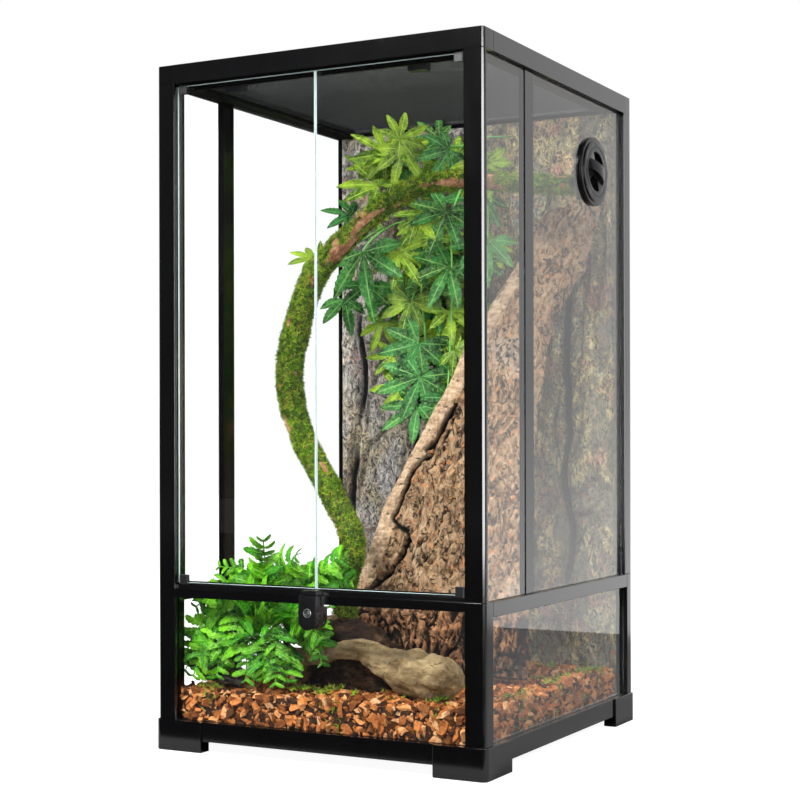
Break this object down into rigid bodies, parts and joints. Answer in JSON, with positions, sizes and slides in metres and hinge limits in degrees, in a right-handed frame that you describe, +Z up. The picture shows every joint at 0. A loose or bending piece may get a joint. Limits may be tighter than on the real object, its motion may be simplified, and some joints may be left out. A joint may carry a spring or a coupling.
{
  "type": "reptile terrarium",
  "caption": "Tall glass terrarium in a black frame, with two front doors, a key lock, a rotary side vent, a screen top and bark, branch and plant furnishing inside.",
  "frame": {"origin": "centre of the frame's plan, on the floor under the feet", "axes": "+X to the right seen from the doors, +Y to the back, +Z up"},
  "size_m": [0.4715, 0.4763, 0.86],
  "materials": {
    "black_frame": "gloss",
    "clear_glass": "polished",
    "black_fittings": "satin",
    "lock_black": "satin",
    "key_metal": "polished",
    "vent_black": "satin",
    "screen_wire": "satin",
    "foam_bark": "matte",
    "cork": "matte",
    "moss": "matte",
    "vine_leaf": "satin",
    "fern_leaf": "satin",
    "driftwood": "matte",
    "bark_chips": "matte"
  },
  "bodies": {
    "cabinet": {"front_left_foot": "black_frame", "front_right_foot": "black_frame", "back_left_foot": "black_frame", "back_right_foot": "black_frame", "front_bottom_rail": "black_frame", "back_bottom_rail": "black_frame", "left_bottom_rail": "black_frame", "right_bottom_rail": "black_frame", "base_pane": "clear_glass", "front_left_lower_post": "black_frame", "front_right_lower_post": "black_frame", "back_left_lower_post": "black_frame", "back_right_lower_post": "black_frame", "front_lower_pane": "clear_glass", "back_lower_pane": "clear_glass", "left_lower_pane": "clear_glass", "right_lower_pane": "clear_glass", "front_mid_rail": "black_frame", "back_mid_rail": "black_frame", "left_mid_rail": "black_frame", "right_mid_rail": "black_frame", "front_left_upper_post": "black_frame", "front_right_upper_post": "black_frame", "back_left_upper_post": "black_frame", "back_right_upper_post": "black_frame", "left_divider": "black_frame", "right_divider": "black_frame", "left_front_pane": "clear_glass", "left_rear_pane": "clear_glass", "right_front_pane": "clear_glass", "right_rear_pane": "clear_glass", "back_upper_pane": "clear_glass", "front_top_rail": "black_frame", "back_top_rail": "black_frame", "left_top_rail": "black_frame", "right_top_rail": "black_frame", "top_corner_blocks": "black_frame", "lock_housing": "lock_black", "lock_inner_plate": "lock_black", "vent_flange": "vent_black", "vent_nut": "vent_black", "background_panel": "foam_bark", "cork_slab": "cork", "moss_branch": "moss", "vine_plant": "vine_leaf", "fern_plant": "fern_leaf", "driftwood": "driftwood", "substrate": "bark_chips"},
    "left_door": {"left_door_pane": "clear_glass", "left_door_clips": "black_fittings"},
    "right_door": {"right_door_pane": "clear_glass", "right_door_clips": "black_fittings"},
    "lock_barrel": {"lock_cylinder": "key_metal"},
    "bolt": {"lock_bolt": "lock_black"},
    "vent_knob": {"vent_disc": "vent_black"},
    "left_latch": {"left_screen_latch": "black_fittings"},
    "right_latch": {"right_screen_latch": "black_fittings"},
    "screen_top": {"screen_end_bars": "black_fittings", "screen_side_bars": "black_fittings", "screen_mesh": "screen_wire"}
  },
  "joints": [
    {"name": "left_door_hinge", "type": "hinge", "parent": "cabinet", "child": "left_door", "pos_m": [-0.1983, -0.221, 0.52], "axis": [0, 0, -1], "range_deg": [0, 100]},
    {"name": "right_door_hinge", "type": "hinge", "parent": "cabinet", "child": "right_door", "pos_m": [0.1983, -0.221, 0.52], "axis": [0, 0, 1], "range_deg": [0, 100]},
    {"name": "key_turn", "type": "hinge", "parent": "cabinet", "child": "lock_barrel", "pos_m": [0, -0.236, 0.1825], "axis": [0, -1, 0], "range_deg": [0, 90]},
    {"name": "bolt_lift", "type": "slide", "parent": "cabinet", "child": "bolt", "axis": [0, 0, 1], "range_m": [0, 0.008]},
    {"name": "vent_turn", "type": "hinge", "parent": "cabinet", "child": "vent_knob", "pos_m": [0.226, 0.104, 0.741], "axis": [1, 0, 0], "range_deg": [0, 90]},
    {"name": "left_latch_slide", "type": "slide", "parent": "cabinet", "child": "left_latch", "axis": [0, 1, 0], "range_m": [0, 0.003]},
    {"name": "right_latch_slide", "type": "slide", "parent": "cabinet", "child": "right_latch", "axis": [0, 1, 0], "range_m": [0, 0.003]},
    {"name": "screen_lift", "type": "slide", "parent": "cabinet", "child": "screen_top", "axis": [0, 0, 1], "range_m": [0, 0.1]}
  ],
  "couplings": [
    {"joint": "key_turn", "follows": "bolt_lift", "rad_per_m": 196.34}
  ]
}
